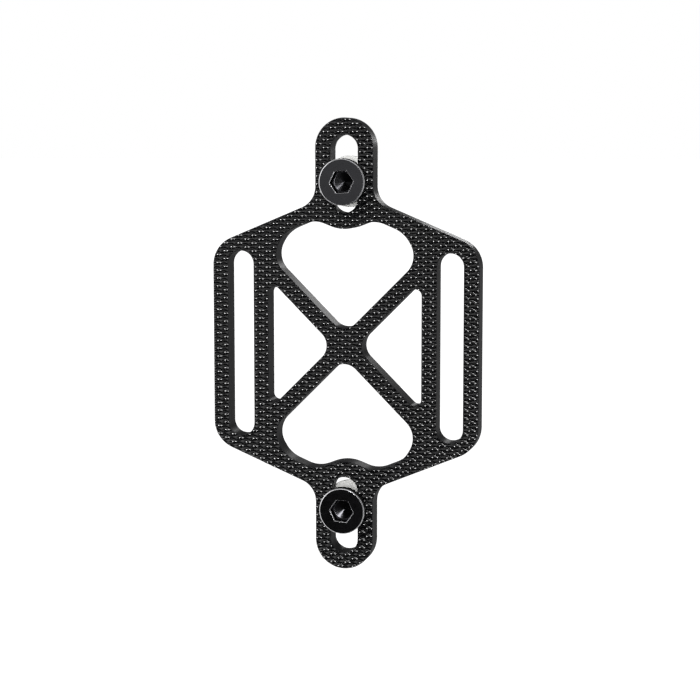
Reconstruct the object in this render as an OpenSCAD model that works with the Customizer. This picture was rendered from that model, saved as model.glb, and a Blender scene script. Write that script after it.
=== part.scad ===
// Slotted strap mount for a bicycle: a flat sheet plate on two screws and two spacers.
// Frame: X across the plate, Y back along the screws, Z up the plate.
// The origin is midway between the screw axes, on the plane where the spacers bear.

/* [Plate outline] */
// Width across the two strap sides
plate_w = 53.1; // [52.5:0.1:56]
// Height from tab end to tab end
plate_h = 88.2; // [86:0.1:94]
// Thickness of the sheet
plate_t = 4.5; // [3:0.1:6]
// Width of the tab at the top and at the bottom
tab_w = 11.5; // [10.4:0.1:12.4]
// Height above the centre at which a shoulder line meets the tab side
neck_z = 28; // [27.5:0.1:28.5]
// Fall of the shoulder from the tab to the strap side, in degrees
shoulder_slope = 22.7; // [22:0.1:23.5]
// Radius of the four outer corners
corner_r = 5.8; // [4:0.1:7]
// Radius of the inner curve between tab and shoulder
neck_r = 4.4; // [3:0.1:5]

/* [Strap slots] */
// Distance between the middles of the two strap slots
strap_pitch = 41.8; // [41.4:0.1:42.2]
// Width of a strap slot
strap_w = 5.2; // [4.5:0.1:5.6]
// Length of a strap slot, end to end
strap_len = 36.6; // [30:0.1:37]

/* [Windows] */
// Width of the two bars that cross at the centre
bar_w = 3.15; // [2.8:0.05:3.6]
// Radius of the four window corners that point at the centre
tip_r = 3.2; // [2.4:0.1:3.6]
// Distance from the centre line to the upright side of a side window
side_window_x = 15.3; // [14.8:0.05:15.4]
// Radius of the sharp corners of a side window
side_window_r = 1.25; // [0.8:0.05:1.6]
// Width of the rim between a shoulder and a heart window
rim_w = 3.1; // [2.8:0.05:3.4]
// Distance from the centre line to the inner end of a lobe's top side
lobe_in_x = 6; // [5.6:0.1:6.4]
// Distance from the centre line to the outer end of a lobe's top side
lobe_out_x = 11.9; // [11.7:0.1:12.1]
// Distance from the centre line to the lobe's lower corner
lobe_side_x = 14.7; // [14.5:0.1:14.8]
// Height of the heart's notch above the centre, before it is rounded
notch_z = 22.2; // [21.8:0.1:22.5]

/* [Screw slots] */
// Distance between the middles of the two screw slots
slot_pitch = 66.7; // [66:0.1:67.4]
// Length of a screw slot, end to end
slot_len = 15; // [13:0.1:15.6]
// Width of a screw slot
slot_w = 5.4; // [5.3:0.05:5.8]

/* [Screws] */
// Distance between the axes of the two screws
screw_pitch = 64; // [60:0.5:70]
// Height of the plate's centre above the middle of the two screws
plate_rise = 0.2; // [0:0.1:1]
// Outside diameter of the thread
thread_d = 5; // [4.9:0.1:5.1]
// Diameter of the plain shank between head and thread
shank_d = 4.8; // [4.4:0.1:4.8]
// Length of a screw under its head
screw_len = 16; // [12:1:20]
// Diameter of the flat head
head_d = 9; // [8.5:0.1:10]
// Height of the flat head
head_h = 2; // [1.9:0.1:3]
// Width of the turned edge round the head
head_edge = 0.25; // [0.1:0.05:0.4]
// Size of the hexagon key, across its flats
key_af = 4; // [3:0.5:4]
// Depth of the key socket
key_depth = 1.7; // [1.2:0.1:1.8]
// Turn of the upper screw's socket, in degrees
upper_turn = 4; // [-30:1:30]
// Turn of the lower screw's socket, in degrees
lower_turn = -5; // [-30:1:30]

/* [Spacers] */
// Outside diameter of a spacer
spacer_d = 10; // [9:0.1:11]
// Bore of a spacer
spacer_bore = 5.3; // [5.2:0.05:5.6]
// Thickness of a spacer
spacer_t = 1; // [1:0.5:5]
// Width of the chamfer round a spacer
spacer_edge = 0.15; // [0.1:0.05:0.3]

/* [Hidden] */

round_fn = 96;
// Largest turn of one straight piece of a rounded outline, in degrees
arc_step = 5;
// How far a cutter runs past the faces that it cuts
past = 1;

half_w = plate_w / 2;
tab_x = tab_w / 2;
tab_arc_z = plate_h / 2 - tab_x;
corner_z = neck_z - (half_w - tab_x) * tan(shoulder_slope);
// The windows' slanting sides run at 45 degrees, this far above and below the centre
bar_offset = bar_w / sqrt(2);

lobe_r = 5.4;
lobe_top_r = 6;
lobe_side_r = 4.4;
notch_r = 7.2;

front_y = -spacer_t - plate_t;
screw_z = screw_pitch / 2;
thread_chamfer = 0.6;
// The drill's point under the key socket
key_point_depth = 0.7;
key_point_d = 0.9 * key_af;

BLACK_SHEET = "#1b1c1d";
BLACK_STEEL = "#2c2d2e";
WHITE_NYLON = "#eeeeeb";

// Height of a line parallel to the right shoulder, inside it by depth, at a distance x from the middle
function under_shoulder(x, depth) =
    neck_z - (x - tab_x) * tan(shoulder_slope) - depth / cos(shoulder_slope);

function flat_point(p) = [p.x, p.y];

// Points of the arc of radius r that rounds the corner at p, between the points before and after
function corner_arc(before, p, after, r) =
    let (
        u = (before - p) / norm(before - p),
        v = (after - p) / norm(after - p),
        half = acos(u * v) / 2,
        centre = p + (u + v) / norm(u + v) * r / sin(half),
        start = p + u * r / tan(half) - centre,
        end = p + v * r / tan(half) - centre,
        from = atan2(start.y, start.x),
        turn = (atan2(end.y, end.x) - from + 540) % 360 - 180,
        n = ceil(abs(turn) / arc_step)
    )
    [for (k = [0:n]) centre + r * [cos(from + turn * k / n), sin(from + turn * k / n)]];

// Outline through corners given as [x, z, radius]; a radius of 0 keeps the point itself
function rounded(corners) =
    let (n = len(corners))
    [
        for (i = [0:n - 1])
            let (
                p = flat_point(corners[i]),
                before = flat_point(corners[(i + n - 1) % n]),
                after = flat_point(corners[(i + 1) % n]),
                r = corners[i].z
            )
            each (r == 0 ? [p] : corner_arc(before, p, after, r))
    ];

// Half circle at a tab's end; side is 1 for the upper tab and -1 for the lower one
function tab_end(side) =
    [for (a = [0:arc_step:180]) [side * tab_x * cos(a), side * (tab_arc_z + tab_x * sin(a)), 0]];

function plate_outline() = rounded(concat(
    [[half_w, -corner_z, corner_r], [half_w, corner_z, corner_r], [tab_x, neck_z, neck_r]],
    tab_end(1),
    [[-tab_x, neck_z, neck_r], [-half_w, corner_z, corner_r], [-half_w, -corner_z, corner_r],
     [-tab_x, -neck_z, neck_r]],
    tab_end(-1),
    [[tab_x, -neck_z, neck_r]]
));

// Heart with its point at the centre of the plate and two lobes under the shoulders
function heart_outline() =
    let (
        lobe = [
            [lobe_side_x, lobe_side_x + bar_offset, lobe_side_r],
            [lobe_out_x, under_shoulder(lobe_out_x, rim_w), lobe_top_r],
            [lobe_in_x, under_shoulder(lobe_in_x, rim_w), lobe_r]
        ]
    )
    rounded(concat(
        [[0, bar_offset, tip_r]],
        lobe,
        [[0, notch_z, notch_r]],
        [for (i = [len(lobe) - 1:-1:0]) [-lobe[i].x, lobe[i].y, lobe[i].z]]
    ));

// Triangle between the bars and the web beside a strap slot
function side_window_outline() = rounded([
    [bar_offset, 0, tip_r],
    [side_window_x, bar_offset - side_window_x, side_window_r],
    [side_window_x, side_window_x - bar_offset, side_window_r]
]);

// Turns a shape drawn in X and Z to stand in the plate's plane, with depth running forwards from y = 0
module stand() {
    rotate([90, 0, 0]) children();
}

// Cutter with two round ends, upright in the plate
module upright_slot(width, length) {
    reach = length / 2 - width / 2;
    stand()
        translate([0, 0, -past]) {
            translate([-width / 2, -reach, 0])
                cube([width, 2 * reach, plate_t + 2 * past]);
            for (side = [-1, 1])
                translate([0, side * reach, 0])
                    cylinder(h = plate_t + 2 * past, d = width, $fn = round_fn);
        }
}

module plate() {
    color(BLACK_SHEET)
        translate([0, -spacer_t, plate_rise])
            difference() {
                stand()
                    linear_extrude(plate_t)
                        difference() {
                            polygon(plate_outline());
                            for (up = [0, 1])
                                mirror([0, up]) polygon(heart_outline());
                            for (left = [0, 1])
                                mirror([left, 0]) polygon(side_window_outline());
                        }
                for (side = [-1, 1]) {
                    translate([side * strap_pitch / 2, 0, 0])
                        upright_slot(strap_w, strap_len);
                    translate([0, 0, side * slot_pitch / 2])
                        upright_slot(slot_w, slot_len);
                }
            }
}

// Flat nylon ring behind the plate, round a screw
module spacer(z) {
    color(WHITE_NYLON)
        translate([0, 0, z])
            stand()
                rotate_extrude($fn = round_fn)
                    polygon([
                        [spacer_bore / 2, 0],
                        [spacer_d / 2 - spacer_edge, 0],
                        [spacer_d / 2, spacer_edge],
                        [spacer_d / 2, spacer_t - spacer_edge],
                        [spacer_d / 2 - spacer_edge, spacer_t],
                        [spacer_bore / 2, spacer_t]
                    ]);
}

// Flat-headed socket screw, head to the front, its socket turned by turn degrees
module screw(z, turn) {
    color(BLACK_STEEL)
        translate([0, front_y, z])
            stand()
                difference() {
                    rotate_extrude($fn = round_fn)
                        polygon([
                            [0, -screw_len],
                            [thread_d / 2 - thread_chamfer, -screw_len],
                            [thread_d / 2, -screw_len + thread_chamfer],
                            [thread_d / 2, front_y],
                            [shank_d / 2, front_y],
                            [shank_d / 2, 0],
                            [head_d / 2 - head_edge / 2, 0],
                            [head_d / 2, head_edge / 2],
                            [head_d / 2, head_h - head_edge],
                            [head_d / 2 - head_edge, head_h],
                            [0, head_h]
                        ]);
                    rotate([0, 0, turn])
                        translate([0, 0, head_h - key_depth])
                            cylinder(h = key_depth + past, d = key_af / cos(30), $fn = 6);
                    translate([0, 0, head_h - key_depth - key_point_depth])
                        cylinder(h = key_point_depth, d1 = 0, d2 = key_point_d, $fn = round_fn);
                }
}

plate();
spacer(screw_z);  // upper_spacer
spacer(-screw_z);  // lower_spacer
screw(screw_z, upper_turn);  // upper_screw
screw(-screw_z, lower_turn);  // lower_screw
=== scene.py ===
# %% [markdown]
# # A strap mount for a bicycle
# The mount is a flat plate of black woven laminate on two socket screws and two nylon rings.
# The exact model already holds the sizes and the motion. Here each piece gets the surface that
# a close look shows: the weave of the laminate, the key sockets, the threads and the worn rims,
# whose light steel is partly a painted highlight.

# %% Load the exact model
import math

import bpy
import numpy as np
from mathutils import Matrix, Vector


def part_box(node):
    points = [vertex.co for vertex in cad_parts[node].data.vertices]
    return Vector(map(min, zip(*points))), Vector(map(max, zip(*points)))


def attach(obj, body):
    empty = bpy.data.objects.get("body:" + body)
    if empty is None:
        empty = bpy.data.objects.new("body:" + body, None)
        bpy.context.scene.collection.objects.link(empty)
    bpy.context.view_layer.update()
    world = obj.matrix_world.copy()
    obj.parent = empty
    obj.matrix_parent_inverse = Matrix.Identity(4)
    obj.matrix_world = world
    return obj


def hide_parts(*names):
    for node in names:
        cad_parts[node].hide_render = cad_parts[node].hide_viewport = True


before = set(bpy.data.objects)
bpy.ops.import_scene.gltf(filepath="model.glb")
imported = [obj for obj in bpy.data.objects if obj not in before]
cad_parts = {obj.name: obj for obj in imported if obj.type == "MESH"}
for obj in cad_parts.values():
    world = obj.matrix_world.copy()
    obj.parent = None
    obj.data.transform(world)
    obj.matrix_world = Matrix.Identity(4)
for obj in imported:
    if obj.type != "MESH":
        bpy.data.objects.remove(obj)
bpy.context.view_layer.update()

MM = 0.001

# %% [markdown]
# ## The camera
# The camera comes first, because every choice of detail depends on how large it shows.
# It stands a little to the right of the plate and a little above it. Its place is measured from the
# middle of the plate's front face, so that it follows the exact model.

# %% Camera
plate_low, plate_high = (np.array(corner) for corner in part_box("plate"))
FRONT_Y, BACK_Y = plate_low[1], plate_high[1]
plate_middle = (plate_low + plate_high) / 2
face_middle = np.array([plate_middle[0], FRONT_Y, plate_middle[2]])

CAMERA_OFFSET = np.array([83.8, -334.1, 38.27]) * MM
CAMERA_PITCH = math.radians(83.54)
CAMERA_TURN = math.radians(13.88)
LENS = 91.75
SENSOR = 36.0

camera_data = bpy.data.cameras.new("camera")
camera_data.lens = LENS
camera_data.sensor_width = SENSOR
camera_data.clip_start = 0.01
camera = bpy.data.objects.new("camera", camera_data)
camera.location = face_middle + CAMERA_OFFSET
camera.rotation_euler = (CAMERA_PITCH, 0.0, CAMERA_TURN)
bpy.context.collection.objects.link(camera)
bpy.context.scene.camera = camera
print("camera at", tuple(round(v, 4) for v in camera.location))

# %% [markdown]
# ## The plate's outline
# The outline with its six windows and slots is read from the exact plate, so nothing is measured twice.
# Triangles of the front face share their inner edges, and an edge that only one of them has
# lies on the outline. Those edges, each with its direction, are all that the next steps need.

# %% Read the outline from the exact plate


def outline_edges(node_object):
    """Edges of the front face that only one triangle uses, as start and end points (x, z) in metres."""
    mesh = node_object.data
    mesh.calc_loop_triangles()
    points = np.empty(len(mesh.vertices) * 3, np.float32)
    mesh.vertices.foreach_get("co", points)
    points = points.reshape(-1, 3).astype(float)
    triangles = np.empty(len(mesh.loop_triangles) * 3, np.int32)
    mesh.loop_triangles.foreach_get("vertices", triangles)
    triangles = triangles.reshape(-1, 3)
    on_front = (np.abs(points[triangles][:, :, 1] - FRONT_Y) < 1e-6).all(axis=1)
    keys, place = np.unique(np.round(points[:, [0, 2]], 7), axis=0, return_inverse=True)
    faces = place.reshape(-1)[triangles[on_front]]
    directed = np.concatenate([faces[:, [0, 1]], faces[:, [1, 2]], faces[:, [2, 0]]])
    code = np.sort(directed, axis=1) @ np.array([len(keys), 1])
    _, first, count = np.unique(code, return_index=True, return_counts=True)
    border = directed[first[count == 1]]
    return keys[border[:, 0]], keys[border[:, 1]]


edge_start, edge_end = outline_edges(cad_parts["plate"])
outline_length = np.linalg.norm(edge_end - edge_start, axis=1).sum()
print(f"outline: {len(edge_start)} edges, {outline_length / MM:.0f} mm in all")

# %% [markdown]
# ## How far a point lies inside the outline
# The weave is a grid that must stop exactly at the cut edge. For that, each grid point needs its
# distance to the outline, positive inside the laminate. The distance to a straight edge is found by
# dropping a perpendicular on it, and a point is inside if a ray from it crosses the outline an odd
# number of times.

# %% Distance to the outline


def inside_depth(points):
    """Distance of each point (x, z) to the outline, positive inside, and the outline's nearest point."""
    depth = np.empty(len(points))
    nearest = np.empty((len(points), 2))
    run = edge_end - edge_start
    run_squared = (run ** 2).sum(axis=1)
    slope = run[:, 0] / np.where(run[:, 1] == 0, 1e-12, run[:, 1])
    for part in np.array_split(np.arange(len(points)), max(1, len(points) // 8000)):
        p = points[part][:, None, :]
        along = np.clip(((p - edge_start) * run).sum(axis=2) / run_squared, 0, 1)
        foot = edge_start + along[..., None] * run
        gap = np.linalg.norm(p - foot, axis=2)
        best = gap.argmin(axis=1)
        rows = np.arange(len(part))
        straddles = (edge_start[:, 1] > p[..., 1]) != (edge_end[:, 1] > p[..., 1])
        crosses = straddles & (p[..., 0] < edge_start[:, 0] + (p[..., 1] - edge_start[:, 1]) * slope)
        sign = np.where(crosses.sum(axis=1) % 2 == 1, 1.0, -1.0)
        depth[part] = sign * gap[rows, best]
        nearest[part] = foot[rows, best]
    return depth, nearest


# %% [markdown]
# ## The weave as a height
# In a plain weave each thread rises over one crossing thread and dips under the next. Pressed and
# filled with resin, the cloth shows that as a field of low domes: along a thread they come and go as
# a cosine, and across it too, turned over on every second thread. The threads that run across the
# plate are the thick ones, so each of them also stands up as a ridge of its own.

# %% Height of the weave
# Width of a thread across the rows and along them, and the place of one crown from the plate's middle
ROW_PITCH = 0.773 * MM
COLUMN_PITCH = 1.447 * MM
ROW_START = -0.329 * MM
COLUMN_START = -1.347 * MM
# Heights of the waves that the surface is the sum of
DOME = 0.156 * MM
RIDGE = 0.072 * MM
SHARPER = 0.025 * MM
SADDLE = -0.013 * MM
CREST = -0.030 * MM
# Half the distance over which a slope is measured
SLOPE_STEP = 0.001 * MM


def weave_height(x, z):
    """Height of the laminate's surface, 0 at its highest crowns and negative in the gaps.

    Domes: the product of a cosine along x and one along z, each with a period of two threads.
    Ridges: a cosine along z with a period of one thread. Three weaker waves flatten the crests of
    the crowns, draw them together along x and fill the saddles between them.
    """
    u = np.pi * (x - plate_middle[0] - COLUMN_START) / COLUMN_PITCH
    v = np.pi * (z - plate_middle[2] - ROW_START) / ROW_PITCH
    crowns = np.cos(u) * (DOME * np.cos(v) + CREST * np.cos(3 * v))
    surface = crowns + RIDGE * np.cos(2 * v) + (SHARPER + SADDLE * np.cos(2 * v)) * np.cos(2 * u)
    return surface - (DOME + CREST + RIDGE + SHARPER + SADDLE)


def weave_normals(x, z):
    """Direction of the front surface at each point, of length 1.

    It is (minus the slope along x, 1 towards the front, minus the slope along z), divided by its length.
    """
    slope_x = (weave_height(x + SLOPE_STEP, z) - weave_height(x - SLOPE_STEP, z)) / (2 * SLOPE_STEP)
    slope_z = (weave_height(x, z + SLOPE_STEP) - weave_height(x, z - SLOPE_STEP)) / (2 * SLOPE_STEP)
    direction = np.stack([-slope_x, -np.ones_like(slope_x), -slope_z], axis=1)
    return direction / np.linalg.norm(direction, axis=1, keepdims=True)


sample = weave_height(*np.meshgrid(np.linspace(0, 0.006, 400), np.linspace(0, 0.006, 400)))
print(f"weave: {sample.min() / MM:.3f} to {sample.max() / MM:.3f} mm")

# %% [markdown]
# ## A grid that ends exactly on the outline
# A plain grid would leave steps along the cut edge. So wherever a grid edge crosses the outline, its
# nearer end is moved onto the outline. After that no grid edge crosses it any more: a square with no
# corner outside stays whole, and one with a single corner outside keeps the triangle of the others.
# The grid's lines fall on the same places of every thread, so all crowns come out alike.

# %% Grid with its edge on the outline
# Grid squares to a thread's width, and the width of the broken edge that the grid leaves free
COLUMN_STEPS = 5
ROW_STEPS = 6
EDGE_WIDTH = 0.10 * MM


def grid_lines(low, high, first, step):
    """Places of evenly spaced lines from low to high, one of them at first."""
    return first + np.arange(math.floor((low - first) / step), math.ceil((high - first) / step) + 1) * step


def fitted_grid():
    """Points (x, z), squares, triangles, and for each point its place on the outline or NaN."""
    first_x, first_z = plate_middle[0] + COLUMN_START, plate_middle[2] + ROW_START
    lines_x = grid_lines(plate_low[0], plate_high[0], first_x, COLUMN_PITCH / COLUMN_STEPS)
    lines_z = grid_lines(plate_low[2], plate_high[2], first_z, ROW_PITCH / ROW_STEPS)
    x, z = np.meshgrid(lines_x, lines_z, indexing="ij")
    points = np.stack([x.ravel(), z.ravel()], axis=1)
    depth, nearest = inside_depth(points)
    field = (depth - EDGE_WIDTH).reshape(x.shape)

    moved = np.zeros(x.shape, bool)
    for axis in (0, 1):
        a = field[:-1] if axis == 0 else field[:, :-1]
        b = field[1:] if axis == 0 else field[:, 1:]
        crossing = (a > 0) != (b > 0)
        first_nearer = np.abs(a) <= np.abs(b)
        low = moved[:-1] if axis == 0 else moved[:, :-1]
        high = moved[1:] if axis == 0 else moved[:, 1:]
        low |= crossing & first_nearer
        high |= crossing & ~first_nearer
    state = np.where(moved, 0, np.where(field > 0, 1, -1))

    number = np.arange(x.size).reshape(x.shape)
    corners = np.stack([number[:-1, :-1], number[1:, :-1], number[1:, 1:], number[:-1, 1:]], axis=-1)
    corners = corners.reshape(-1, 4)
    corner_state = state.ravel()[corners]
    outside = (corner_state < 0).sum(axis=1)
    within = (corner_state > 0).sum(axis=1)
    middle_in = field.ravel()[corners].mean(axis=1) > 0
    squares = corners[(outside == 0) & ((within > 0) | middle_in)]
    single = (outside == 1) & ((within > 0) | middle_in)
    missing = (corner_state[single] < 0).argmax(axis=1)
    keep = (missing[:, None] + np.array([1, 2, 3])) % 4
    triangles = np.take_along_axis(corners[single], keep, axis=1)

    on_outline = np.full((x.size, 2), np.nan)
    on_outline[moved.ravel()] = nearest[moved.ravel()]
    used = np.unique(np.concatenate([squares.ravel(), triangles.ravel()]))
    renumber = np.full(x.size, -1)
    renumber[used] = np.arange(len(used))
    return points[used], renumber[squares], renumber[triangles], on_outline[used]


grid_points, grid_squares, grid_triangles, grid_foot = fitted_grid()
print(f"grid: {len(grid_points)} points, {len(grid_squares)} squares, {len(grid_triangles)} triangles")

# %% [markdown]
# ## Colours and nodes
# Colours are written as the hex values that a picture would show, and one function turns them into
# the linear values that Blender mixes with. The others add a node with its settings and links, add a
# node that calculates, add a pattern whose grain is given in metres, and make a material.

# %% Helpers for materials


def linear(hex_colour):
    """Linear red, green, blue and alpha of an sRGB hex colour such as #1b1c1d."""
    parts = np.array([int(hex_colour[i:i + 2], 16) for i in (1, 3, 5)]) / 255
    low, high = parts / 12.92, ((parts + 0.055) / 1.055) ** 2.4
    return (*np.where(parts <= 0.04045, low, high).tolist(), 1.0)


def add_node(tree, kind, links=None, **settings):
    """Adds a node. A setting names an input or a property, and links name inputs with their sources."""
    node = tree.nodes.new(kind)
    for name, value in settings.items():
        label = name.replace("_", " ")
        matches = [socket for socket in node.inputs if socket.name.lower() == label.lower()]
        if matches and not hasattr(node, name):
            matches[0].default_value = value
        else:
            setattr(node, name, value)
    for name, output in (links or {}).items():
        tree.links.new(output, node.inputs[name])
    return node


def calculate(tree, operation, *values):
    """One math node. A value is a number or another node's output."""
    node = add_node(tree, "ShaderNodeMath", operation=operation)
    for socket, value in zip(node.inputs, values):
        if isinstance(value, (int, float)):
            socket.default_value = value
        else:
            tree.links.new(value, socket)
    return node.outputs[0]


def noise(tree, place, grain, detail):
    """Strength of a cloudy pattern whose grain is about so many metres wide."""
    node = add_node(tree, "ShaderNodeTexNoise", {"Vector": place}, Scale=1 / grain, Detail=detail)
    return node.outputs["Fac"]


def new_material(name, colour, roughness, metallic=0.0, **more):
    """A material with its Principled shader's plain values set, with its node tree and shader."""
    material = bpy.data.materials.new(name)
    material.use_nodes = True
    tree = material.node_tree
    shader = tree.nodes["Principled BSDF"]
    shader.inputs["Base Color"].default_value = linear(colour)
    shader.inputs["Roughness"].default_value = roughness
    shader.inputs["Metallic"].default_value = metallic
    for socket, value in more.items():
        shader.inputs[socket.replace("_", " ")].default_value = value
    return material, tree, shader


# %% [markdown]
# ## Black laminate
# The sheet is black fibre cloth in clear epoxy, pressed and cured. The thin skin of resin makes it
# half glossy, so each crown throws back a small sharp light while the gaps stay black. The cut edge
# has no such skin: the cutter leaves it matt, and the plies show in it as level lines.

# %% Laminate materials


def woven_normal(tree, place):
    """The weave's own direction at every point, so that glints stay sharp between the grid's points.

    The slopes are those of weave_height: each cosine becomes minus a sine times its own wave number.
    """
    parts = add_node(tree, "ShaderNodeSeparateXYZ", {"Vector": place})
    per_x, per_z = math.pi / COLUMN_PITCH, math.pi / ROW_PITCH
    first_x, first_z = float(plate_middle[0] + COLUMN_START), float(plate_middle[2] + ROW_START)
    u = calculate(tree, "MULTIPLY_ADD", parts.outputs["X"], per_x, -first_x * per_x)
    v = calculate(tree, "MULTIPLY_ADD", parts.outputs["Z"], per_z, -first_z * per_z)

    def wave(operation, angle, times, height):
        turned = calculate(tree, "MULTIPLY", angle, float(times))
        return calculate(tree, "MULTIPLY", calculate(tree, operation, turned), float(height))

    def total(first, second):
        return calculate(tree, "ADD", first, second)

    def product(first, second):
        return calculate(tree, "MULTIPLY", first, second)

    domes_x = total(wave("COSINE", v, 1, DOME), wave("COSINE", v, 3, CREST))
    domes_z = total(wave("SINE", v, 1, DOME), wave("SINE", v, 3, 3 * CREST))
    along_x = total(product(wave("SINE", u, 1, per_x), domes_x),
                    product(wave("SINE", u, 2, 2 * per_x), total(wave("COSINE", v, 2, SADDLE), SHARPER)))
    along_z = total(product(wave("COSINE", u, 1, per_z), domes_z),
                    product(wave("SINE", v, 2, 2 * per_z), total(wave("COSINE", u, 2, SADDLE), RIDGE)))
    side = calculate(tree, "SIGN", calculate(tree, "SUBTRACT", parts.outputs["Y"], float(plate_middle[1])))
    direction = add_node(tree, "ShaderNodeCombineXYZ", {"X": along_x, "Y": side, "Z": along_z})
    in_world = add_node(tree, "ShaderNodeVectorTransform", {"Vector": direction.outputs[0]},
                        vector_type="NORMAL", convert_from="OBJECT", convert_to="WORLD")
    return in_world.outputs[0]


def pressed_laminate():
    """Resin skin over black cloth: dark, half glossy, with slight unevenness of the resin."""
    material, tree, shader = new_material("pressed_laminate", "#040405", 0.14, IOR=1.68)
    place = add_node(tree, "ShaderNodeTexCoord")
    resin = noise(tree, place.outputs["Object"], 2.2 * MM, 3.0)
    gloss = add_node(tree, "ShaderNodeMapRange", {"Value": resin},
                     From_Min=0.3, From_Max=0.7, To_Min=0.12, To_Max=0.16)
    tree.links.new(gloss.outputs["Result"], shader.inputs["Roughness"])
    tree.links.new(woven_normal(tree, place.outputs["Object"]), shader.inputs["Normal"])
    return material


def milled_laminate():
    """Edge left by a milling cutter: matt black, with the plies as lines along it and tool marks across."""
    material, tree, shader = new_material("milled_laminate", "#18181a", 0.42,
                                          IOR=1.5, Specular_IOR_Level=0.05)
    place = add_node(tree, "ShaderNodeTexCoord")
    along = add_node(tree, "ShaderNodeMapping", {"Vector": place.outputs["Object"]},
                     Scale=(0.06, 1.0, 0.06))
    plies = noise(tree, along.outputs["Vector"], 0.22 * MM, 2.0)
    tone = add_node(tree, "ShaderNodeMapRange", {"Value": plies}, From_Min=0.35, From_Max=0.65)
    colour = add_node(tree, "ShaderNodeMix", {"Factor": tone.outputs["Result"]}, data_type="RGBA")
    colour.inputs[6].default_value = linear("#0e0e0f")
    colour.inputs[7].default_value = linear("#232325")
    tree.links.new(colour.outputs[2], shader.inputs["Base Color"])
    across = add_node(tree, "ShaderNodeMapping", {"Vector": place.outputs["Object"]},
                      Scale=(1.0, 0.08, 1.0))
    marks = noise(tree, across.outputs["Vector"], 0.35 * MM, 2.0)
    bump = add_node(tree, "ShaderNodeBump", {"Height": marks}, Strength=0.25, Distance=0.03 * MM)
    tree.links.new(bump.outputs["Normal"], shader.inputs["Normal"])
    return material


laminate_face = pressed_laminate()
laminate_edge = milled_laminate()

# %% [markdown]
# ## The plate as one closed skin
# The grid is used twice, for the front and for the back, and the two are joined along the outline by
# rings of faces. The first and the last ring break the sharp edge, as the fitter does with a file. The
# wall between them gets the outline's own direction, so that it stays flat under smooth shading.

# %% Build the plate
# Depth at which the flat wall starts, and how far along the broken edge its middle ring lies
WALL_START = 0.30 * MM
BREAK_SHARE = 0.3
# Distance over which the outline's direction is measured
PROBE = 0.12 * MM


def border_edges(squares, triangles, count):
    """Directed edges of the faces that no other face runs the other way."""
    directed = np.concatenate([squares[:, [i, (i + 1) % 4]] for i in range(4)]
                              + [triangles[:, [i, (i + 1) % 3]] for i in range(3)])
    forward = directed[:, 0] * count + directed[:, 1]
    backward = directed[:, 1] * count + directed[:, 0]
    return directed[~np.isin(forward, backward)]


def make_piece(name, points, faces, materials, indices=None, body=None, normals=None):
    """A mesh object at the origin from points and faces, smooth shaded, riding on a body.

    A point whose given normal is zero keeps the one that its faces give it.
    """
    mesh = bpy.data.meshes.new(name)
    mesh.from_pydata(points.tolist(), [], faces)
    mesh.polygons.foreach_set("use_smooth", np.ones(len(mesh.polygons), bool))
    for material in materials:
        mesh.materials.append(material)
    if indices is not None:
        mesh.polygons.foreach_set("material_index", np.asarray(indices, np.int32))
    mesh.update()
    if normals is not None:
        mesh.normals_split_custom_set_from_vertices(normals.tolist())
    piece = bpy.data.objects.new(name, mesh)
    bpy.context.collection.objects.link(piece)
    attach(piece, body)
    triangles = sum(len(face) - 2 for face in faces)
    print(f"{name}: {len(points)} points, {triangles} triangles")
    return piece


def laminate_plate():
    """Front and back weave joined by ring walls along the outline."""
    count = len(grid_points)
    border = border_edges(grid_squares, grid_triangles, count)
    rim = np.unique(border)
    foot = grid_foot[rim]
    inward = np.stack([inside_depth(foot + offset)[0] - inside_depth(foot - offset)[0]
                       for offset in PROBE * np.eye(2)], axis=1)
    inward /= np.linalg.norm(inward, axis=1, keepdims=True)

    flat = grid_points.copy()
    on_edge = np.flatnonzero(~np.isnan(grid_foot[:, 0]))
    order = np.searchsorted(rim, on_edge)
    known = (order < len(rim)) & (rim[np.minimum(order, len(rim) - 1)] == on_edge)
    flat[on_edge[known]] = foot[order[known]] + inward[order[known]] * EDGE_WIDTH
    height = weave_height(flat[:, 0], flat[:, 1])
    front = np.stack([flat[:, 0], FRONT_Y - height, flat[:, 1]], axis=1)
    back = np.stack([flat[:, 0], BACK_Y + height, flat[:, 1]], axis=1)

    def ring(inset, y):
        place = foot + inward * inset
        return np.stack([place[:, 0], np.broadcast_to(y, len(place)), place[:, 1]], axis=1)

    rim_height = height[rim]
    rings = [
        ring(EDGE_WIDTH * BREAK_SHARE, FRONT_Y - rim_height + (WALL_START + rim_height) * BREAK_SHARE),
        ring(0, FRONT_Y + WALL_START),
        ring(0, BACK_Y - WALL_START),
        ring(EDGE_WIDTH * BREAK_SHARE, BACK_Y + rim_height - (WALL_START + rim_height) * BREAK_SHARE),
    ]
    points = np.concatenate([front, back] + rings)
    ring_points = 2 * count + np.arange(len(rings) * len(rim)).reshape(len(rings), -1)
    levels = [rim, *ring_points, rim + count]
    a, b = np.searchsorted(rim, border[:, 0]), np.searchsorted(rim, border[:, 1])
    strips = [np.stack([near[b], near[a], far[a], far[b]], axis=1)
              for near, far in zip(levels[:-1], levels[1:])]
    faces = (grid_squares.tolist() + grid_triangles.tolist()
             + (grid_squares[:, ::-1] + count).tolist() + (grid_triangles[:, ::-1] + count).tolist())
    indices = [0] * len(faces)
    for strip in strips:
        faces += strip.tolist()
        indices += [1] * len(strip)
    front_normals = weave_normals(flat[:, 0], flat[:, 1])
    front_normals[rim] = 0
    normals = np.zeros_like(points)
    normals[:count] = front_normals
    normals[count:2 * count] = front_normals * np.array([1, -1, 1])
    for wall_ring in ring_points[1:3]:
        normals[wall_ring] = np.stack([-inward[:, 0], np.zeros(len(rim)), -inward[:, 1]], axis=1)
    plate = make_piece("laminate_plate", points, faces, [laminate_face, laminate_edge], indices,
                       "plate", normals)
    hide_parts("plate")
    print(f"rim: {len(rim)} points, {len(border)} edges, {(~known).sum()} outline points not on the rim")


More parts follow.
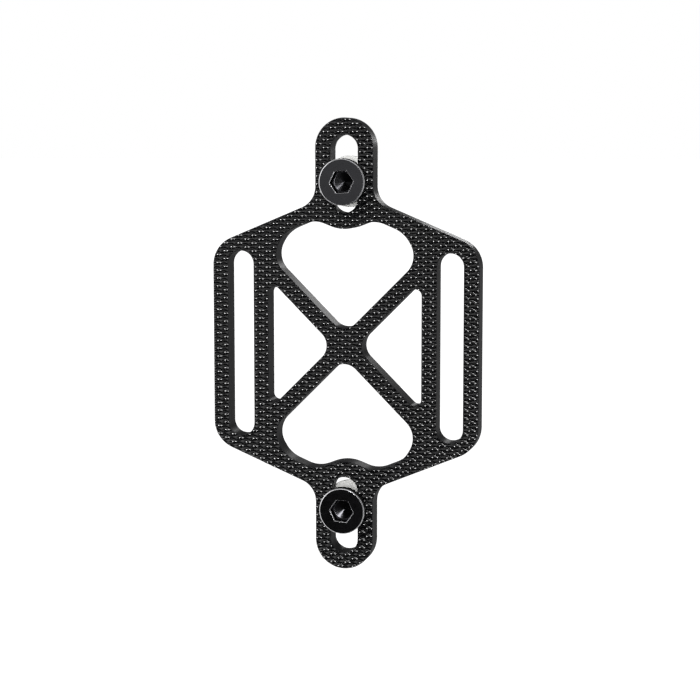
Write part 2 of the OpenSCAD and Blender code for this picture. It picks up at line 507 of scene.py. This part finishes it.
laminate_plate()

# %% [markdown]
# ## Black steel
# The screws are steel, blackened in a hot salt bath and oiled. The black layer is thin, so it wears
# through to bright steel first where a key or a finger rubs: on the rim of the head and round the
# socket. These rims are made light all the way round, which also paints in the highlight that a
# bevel catches. The rings behind the plate are plain white nylon.

# %% Steel and nylon


def blackened_steel():
    """Black oxide on steel: a dark metal with a soft gloss, a little uneven where the oil lies thicker."""
    material, tree, shader = new_material("blackened_steel", "#303032", 0.17, metallic=1.0)
    place = add_node(tree, "ShaderNodeTexCoord")
    oil = noise(tree, place.outputs["Object"], 1.5 * MM, 4.0)
    gloss = add_node(tree, "ShaderNodeMapRange", {"Value": oil},
                     From_Min=0.3, From_Max=0.7, To_Min=0.15, To_Max=0.20)
    tree.links.new(gloss.outputs["Result"], shader.inputs["Roughness"])
    return material


def rough_oxide():
    """The same black where no tool has smoothed it: in the socket and on the side of the head."""
    return new_material("rough_oxide", "#18181a", 0.5, metallic=1.0)[0]


def worn_steel_highlight():
    """Bare steel where the black has rubbed off an edge, light all round as a painted highlight too."""
    return new_material("worn_steel_highlight", "#d6d6d8", 0.30, metallic=1.0)[0]


def moulded_nylon():
    """Natural nylon: milky white, with the faint grain of the mould."""
    material, tree, shader = new_material("moulded_nylon", "#f3f3f0", 0.42, IOR=1.53)
    place = add_node(tree, "ShaderNodeTexCoord")
    grain = noise(tree, place.outputs["Object"], 0.6 * MM, 3.0)
    bump = add_node(tree, "ShaderNodeBump", {"Height": grain}, Strength=0.04, Distance=0.02 * MM)
    tree.links.new(bump.outputs["Normal"], shader.inputs["Normal"])
    return material


steel = blackened_steel()
rough = rough_oxide()
# Light steel on the rims: wear, and a painted highlight on the bevels
bare_steel_highlight = worn_steel_highlight()
nylon = moulded_nylon()

# %% [markdown]
# ## The screws
# A screw is a turned shape, so it is one grid: rows run down its outline from the middle of the socket
# to the end of the thread, and columns run round its axis. A row's radius may differ from column to
# column. That gives the six-sided socket and, with a wave that moves round as it goes down, the thread.

# %% Build the screws
COLUMNS = 144
KEY_ACROSS = 4.0 * MM
KEY_DEPTH = 1.7 * MM
POINT_DEPTH = 0.54 * MM
POINT_RADIUS = 1.8 * MM
HEAD_HEIGHT = 2.0 * MM
HEAD_EDGE = 0.18 * MM
SHANK_RADIUS = 2.4 * MM
# The thread starts on the plane where the rings bear
THREAD_START = 0.0
THREAD_RADIUS = 2.5 * MM
THREAD_PITCH = 0.8 * MM
THREAD_DEPTH = 0.49 * MM
# The triangle wave is drawn out and cut off, so that crest and root each get a narrow flat
THREAD_STRETCH = 1.25
THREAD_CREST = 0.12
TIP_CHAMFER = 0.6 * MM
ROWS_PER_TURN = 8
# Distance between two rows that keep a bend tight under smooth shading
TIGHT = 0.03 * MM
# Strips of faces, counted from the socket's middle: worn ones round the socket and the head's rim,
# light steel that is partly a painted highlight, and rough ones in the socket and on the head's side
WORN_HIGHLIGHT_ROWS = (8, 9, 14, 15)
ROUGH_ROWS = (2, 3, 4, 5, 6, 7, 16, 17, 18, 19, 20)


def six_sided(angle):
    """Radius of a hexagon at each angle, where its corners have radius 1."""
    return math.cos(math.pi / 6) / np.cos((angle % (math.pi / 3)) - math.pi / 6)


def ring_faces(rows, columns, start=0):
    """Squares between neighbouring rows of a grid that closes on itself round the axis."""
    number = start + np.arange(rows * columns).reshape(rows, columns)
    turned = np.roll(number, -1, axis=1)
    return np.stack([number[:-1], number[1:], turned[1:], turned[:-1]], axis=-1).reshape(-1, 4)


def head_rows(head_radius, face_y, seat_y):
    """Rows (radius, y, six-sidedness) from the drill's point in the socket to the start of the thread."""
    corner = KEY_ACROSS / 2 / math.cos(math.pi / 6)
    floor_y = face_y + KEY_DEPTH
    return [
        # The drill's point and the socket's floor
        (POINT_RADIUS * 0.04, floor_y + POINT_DEPTH * 0.96, 0),
        (POINT_RADIUS * 0.97, floor_y + POINT_DEPTH * 0.03, 0),
        (POINT_RADIUS, floor_y, 0),
        (POINT_RADIUS + TIGHT, floor_y, 0),
        # The socket's six walls
        (corner - 0.10 * MM, floor_y, 1),
        (corner - TIGHT, floor_y - TIGHT, 1),
        (corner, floor_y - 0.10 * MM, 1),
        (corner, face_y + 0.19 * MM, 1),
        # The bevel round the socket
        (corner, face_y + 0.16 * MM, 1),
        (corner + 0.14 * MM, face_y + TIGHT / 2, 1),
        (corner + 0.17 * MM, face_y, 1),
        # The head's face and the bevel of its rim
        (corner + 0.20 * MM, face_y, 1),
        (corner + 0.9 * MM, face_y, 0),
        (head_radius - HEAD_EDGE - TIGHT, face_y, 0),
        (head_radius - HEAD_EDGE, face_y, 0),
        (head_radius - TIGHT, face_y + HEAD_EDGE - TIGHT, 0),
        # The head's side, with a narrow bevel at the seat
        (head_radius, face_y + HEAD_EDGE, 0),
        (head_radius, face_y + HEAD_EDGE + TIGHT, 0),
        (head_radius, seat_y - 0.14 * MM, 0),
        (head_radius, seat_y - 0.10 * MM, 0),
        (head_radius - 0.10 * MM, seat_y, 0),
        # The seat and the plain shank
        (head_radius - 0.14 * MM, seat_y, 0),
        (SHANK_RADIUS + TIGHT, seat_y, 0),
        (SHANK_RADIUS, seat_y + TIGHT, 0),
        (SHANK_RADIUS, seat_y + 2 * TIGHT, 0),
        (SHANK_RADIUS, THREAD_START - 0.1 * MM, 0),
    ]


def screw_piece(name, node, turn):
    """Socket screw on a node's axis: the rows of its head and shank, then the thread's own rows.

    Thread: the major radius less the depth times a triangle wave of y / pitch + angle / full turn.
    """
    low, high = (np.array(corner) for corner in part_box(node))
    axis = (low + high) / 2
    face_y, seat_y, end_y = low[1], low[1] + HEAD_HEIGHT, high[1]
    angle = np.arange(COLUMNS) * 2 * math.pi / COLUMNS
    table = np.array(head_rows((high[0] - low[0]) / 2, face_y, seat_y))
    radius = table[:, :1] * (1 + table[:, 2:] * (six_sided(angle) - 1))
    y = np.repeat(table[:, 1:2], COLUMNS, axis=1)

    steps = math.ceil((end_y - THREAD_START) / THREAD_PITCH * ROWS_PER_TURN)
    thread_rows = np.linspace(THREAD_START, end_y, steps + 1)[:, None]
    wave = np.abs(((thread_rows / THREAD_PITCH + angle / (2 * math.pi)) % 1) * 2 - 1)
    wave = np.clip(wave * THREAD_STRETCH - THREAD_CREST, 0, 1)
    run_out = np.clip((thread_rows - THREAD_START) / THREAD_PITCH, 0, 1)
    thread = THREAD_RADIUS - THREAD_DEPTH * wave * run_out
    thread = np.minimum(thread, THREAD_RADIUS - TIP_CHAMFER + (end_y - thread_rows))
    radius = np.concatenate([radius, thread])
    y = np.concatenate([y, np.repeat(thread_rows, COLUMNS, axis=1)])

    round_angle = angle + turn
    points = np.stack([axis[0] + radius * np.cos(round_angle), y,
                       axis[2] + radius * np.sin(round_angle)], axis=-1)
    tips = np.array([[axis[0], face_y + KEY_DEPTH + POINT_DEPTH, axis[2]], [axis[0], end_y, axis[2]]])
    points = np.concatenate([points.reshape(-1, 3), tips])
    total = len(radius) * COLUMNS
    squares = ring_faces(len(radius), COLUMNS)
    here = np.arange(COLUMNS)
    ahead = (here + 1) % COLUMNS
    first_fan = np.stack([np.full(COLUMNS, total), here, ahead], axis=1)
    last = total - COLUMNS
    last_fan = np.stack([last + here, np.full(COLUMNS, total + 1), last + ahead], axis=1)
    row_of = np.repeat(np.arange(len(radius) - 1), COLUMNS)
    indices = np.isin(row_of, WORN_HIGHLIGHT_ROWS) + 2 * np.isin(row_of, ROUGH_ROWS)
    indices = indices.tolist() + [0] * (2 * COLUMNS)
    faces = squares.tolist() + first_fan.tolist() + last_fan.tolist()
    piece = make_piece(name, points, faces, [steel, bare_steel_highlight, rough], indices, node)
    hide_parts(node)


screw_piece("socket_screw_upper", "upper_screw", math.radians(4))
screw_piece("socket_screw_lower", "lower_screw", math.radians(-5))

# %% [markdown]
# ## The nylon rings
# Each ring keeps the plate clear of whatever it is mounted on, so that tightening bruises neither.
# It is a rectangle with rounded corners carried once round the screw's axis.

# %% Build the rings
RING_BORE = 5.3 * MM
RING_EDGE = 0.12 * MM
ROUND_STEPS = 4


def nylon_ring(name, node):
    """Ring on a node's axis: a rectangle with quarter-round corners, carried round as a closed grid."""
    low, high = (np.array(corner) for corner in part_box(node))
    axis = (low + high) / 2
    inner, outer = RING_BORE / 2, (high[0] - low[0]) / 2
    quarter = np.linspace(0, math.pi / 2, ROUND_STEPS + 1)
    centres = [
        (inner + RING_EDGE, low[1] + RING_EDGE, math.pi),
        (outer - RING_EDGE, low[1] + RING_EDGE, 1.5 * math.pi),
        (outer - RING_EDGE, high[1] - RING_EDGE, 0.0),
        (inner + RING_EDGE, high[1] - RING_EDGE, 0.5 * math.pi),
    ]
    radius = np.concatenate([r + RING_EDGE * np.cos(start + quarter) for r, _, start in centres])
    y = np.concatenate([depth + RING_EDGE * np.sin(start + quarter) for _, depth, start in centres])
    angle = np.arange(COLUMNS) * 2 * math.pi / COLUMNS
    points = np.stack([axis[0] + radius[:, None] * np.cos(angle), np.repeat(y[:, None], COLUMNS, axis=1),
                       axis[2] + radius[:, None] * np.sin(angle)], axis=-1).reshape(-1, 3)
    rows = len(radius)
    faces = ring_faces(rows + 1, COLUMNS) % (rows * COLUMNS)
    piece = make_piece(name, points, faces.tolist(), [nylon], None, node)
    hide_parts(node)


nylon_ring("nylon_ring_upper", "upper_spacer")
nylon_ring("nylon_ring_lower", "lower_spacer")

# %% [markdown]
# ## The studio
# Black gloss shows little but what it mirrors, so the studio is made for its reflections. A white
# backdrop beside and behind gives the cut edges their grey, and the room in front is nearly dark, where
# mirrors see the floor painted dark, a painted dark reflection in place of black cloth. There a tall key
# lamp over the camera sets the glints on the crowns.
# Backdrop and floor are white to the camera and in mirrors only, so they put no light on the object.
# All other light is an even soft fill, and the floor keeps the object's shadow.

# %% Floor, world and lamps
# The floor's size and its distance under the plate, and where on it the glow grows to full white
FLOOR_DROP = 120 * MM
FLOOR_SIZE = 60.0
NEAR_FLOOR, FAR_FLOOR = 0.6, 1.5
NEAR_GLOW = 0.90
FLOOR_COLOUR = "#a8a8a8"
# Colour that only mirrors see on the floor in front of the object: a painted dark reflection
MIRRORED_DARK_COLOUR = "#050505"
# How far the white reaches round to the front: this share of the distance to the side
SIDE_REACH = 0.4
# Light that mirrors see in front, beside and straight behind, and light for all matt surfaces
ROOM_LEVEL = 0.01
BACKDROP_LEVEL = 1.0
BEHIND_LEVEL = 0.15
FILL_LEVEL = 0.55


def beside_or_behind(tree, parts):
    """Y plus a share of the distance to the side: above 0 but in a wide wedge in front of the object."""
    aside = calculate(tree, "ABSOLUTE", parts.outputs["X"])
    return calculate(tree, "MULTIPLY_ADD", aside, SIDE_REACH, parts.outputs["Y"])


def floor_material():
    """Pale board. It glows for the camera, and for mirrors beside and behind the object.

    The glow is a little less near the object. In front of the object a mirror sees the board dark,
    like the black cloth that a photographer lays there.
    """
    material, tree, shader = new_material("pale_board", FLOOR_COLOUR, 0.9)
    place = add_node(tree, "ShaderNodeTexCoord")
    parts = add_node(tree, "ShaderNodeSeparateXYZ", {"Vector": place.outputs["Object"]})
    ray = add_node(tree, "ShaderNodeLightPath")
    mirror = calculate(tree, "MAXIMUM", ray.outputs["Is Glossy Ray"], ray.outputs["Is Transmission Ray"])
    behind = calculate(tree, "GREATER_THAN", beside_or_behind(tree, parts), 0.0)
    sideways = calculate(tree, "DIVIDE", calculate(tree, "ABSOLUTE", parts.outputs["X"]),
                         calculate(tree, "MAXIMUM", calculate(tree, "ABSOLUTE", parts.outputs["Y"]), 0.001))
    beside = add_node(tree, "ShaderNodeMapRange", {"Value": sideways},
                      From_Min=0.35, From_Max=0.85, To_Min=BEHIND_LEVEL, To_Max=1.0)
    white = calculate(tree, "MULTIPLY", behind, beside.outputs["Result"])
    mirrored = calculate(tree, "MULTIPLY", mirror, white)
    seen = calculate(tree, "MAXIMUM", mirrored, ray.outputs["Is Camera Ray"])
    distance = add_node(tree, "ShaderNodeVectorMath", {0: place.outputs["Object"]}, operation="LENGTH")
    glow = add_node(tree, "ShaderNodeMapRange", {"Value": distance.outputs["Value"]},
                    From_Min=NEAR_FLOOR, From_Max=FAR_FLOOR, To_Min=NEAR_GLOW, To_Max=1.0)
    shader.inputs["Emission Color"].default_value = linear("#ffffff")
    strength = calculate(tree, "MULTIPLY", glow.outputs["Result"], seen)
    tree.links.new(strength, shader.inputs["Emission Strength"])
    # Where mirrors look at the floor in front of the object, its colour is painted dark: a painted dark
    # reflection
    cloth = calculate(tree, "SUBTRACT", mirror, calculate(tree, "MULTIPLY", mirror, behind))
    colour = add_node(tree, "ShaderNodeMix", {"Factor": cloth}, data_type="RGBA")
    colour.inputs[6].default_value = linear(FLOOR_COLOUR)
    colour.inputs[7].default_value = linear(MIRRORED_DARK_COLOUR)
    tree.links.new(colour.outputs[2], shader.inputs["Base Color"])
    return material


def pale_floor():
    """A wide flat square under the object."""
    half = FLOOR_SIZE / 2
    level = plate_low[2] - FLOOR_DROP
    points = [(-half, -half, level), (half, -half, level), (half, half, level), (-half, half, level)]
    mesh = bpy.data.meshes.new("floor")
    mesh.from_pydata(points, [], [(0, 1, 2, 3)])
    mesh.materials.append(floor_material())
    floor = bpy.data.objects.new("floor", mesh)
    bpy.context.collection.objects.link(floor)


def studio_world():
    """White for the camera. Mirrors see it white beside the object, less behind and nearly dark in front.

    All other light, which falls on matt surfaces, is an even soft fill.
    """
    world = bpy.data.worlds.new("studio")
    world.use_nodes = True
    tree = world.node_tree
    tree.nodes.clear()
    place = add_node(tree, "ShaderNodeTexCoord")
    parts = add_node(tree, "ShaderNodeSeparateXYZ", {"Vector": place.outputs["Generated"]})
    behind = add_node(tree, "ShaderNodeMapRange", {"Value": beside_or_behind(tree, parts)},
                      From_Min=-0.1, From_Max=0.2, To_Min=ROOM_LEVEL, To_Max=BACKDROP_LEVEL)
    sideways = calculate(tree, "ABSOLUTE", parts.outputs["X"])
    beside = add_node(tree, "ShaderNodeMapRange", {"Value": sideways},
                      From_Min=0.35, From_Max=0.65, To_Min=BEHIND_LEVEL, To_Max=1.0)
    white = calculate(tree, "MULTIPLY", behind.outputs["Result"], beside.outputs["Result"])
    ray = add_node(tree, "ShaderNodeLightPath")
    mirrored = add_node(tree, "ShaderNodeMix", {"Factor": ray.outputs["Is Glossy Ray"], 3: white},
                        data_type="FLOAT")
    mirrored.inputs[2].default_value = FILL_LEVEL
    level = add_node(tree, "ShaderNodeMath", {0: mirrored.outputs[0], 1: ray.outputs["Is Camera Ray"]},
                     operation="MAXIMUM")
    light = add_node(tree, "ShaderNodeBackground", {"Strength": level.outputs[0]}, Color=linear("#ffffff"))
    add_node(tree, "ShaderNodeOutputWorld", {"Surface": light.outputs[0]})
    bpy.context.scene.world = world


def lamp(name, place, width, height, power):
    """An area lamp that points at the plate's middle. Place and size are in millimetres from there."""
    data = bpy.data.lights.new(name, "AREA")
    data.shape = "RECTANGLE"
    data.size = width * MM
    data.size_y = height * MM
    data.energy = power
    lamp_object = bpy.data.objects.new(name, data)
    lamp_object.location = face_middle + np.array(place) * MM
    lamp_object.rotation_euler = (-Vector(place)).to_track_quat("-Z", "Y").to_euler()
    lamp_object.visible_camera = False
    bpy.context.collection.objects.link(lamp_object)


pale_floor()
studio_world()
# The glints on the crowns, and the light on the white rings
lamp("key", (56, -650, 90), 100, 420, 4.2)
# The grey that the upper head mirrors
lamp("card", (-376, -1500, 5), 420, 160, 0.32)
# Soft grey on slopes that face left or up
lamp("left", (-670, -250, 300), 600, 600, 1.25)
lamp("top", (-100, -500, 700), 900, 500, 1.2)
# A strip behind the plate, which the right shoulder mirrors at a flat angle
lamp("shoulder", (13, 200, 56), 42, 10, 0.035)
bpy.context.scene.view_settings.view_transform = "Standard"
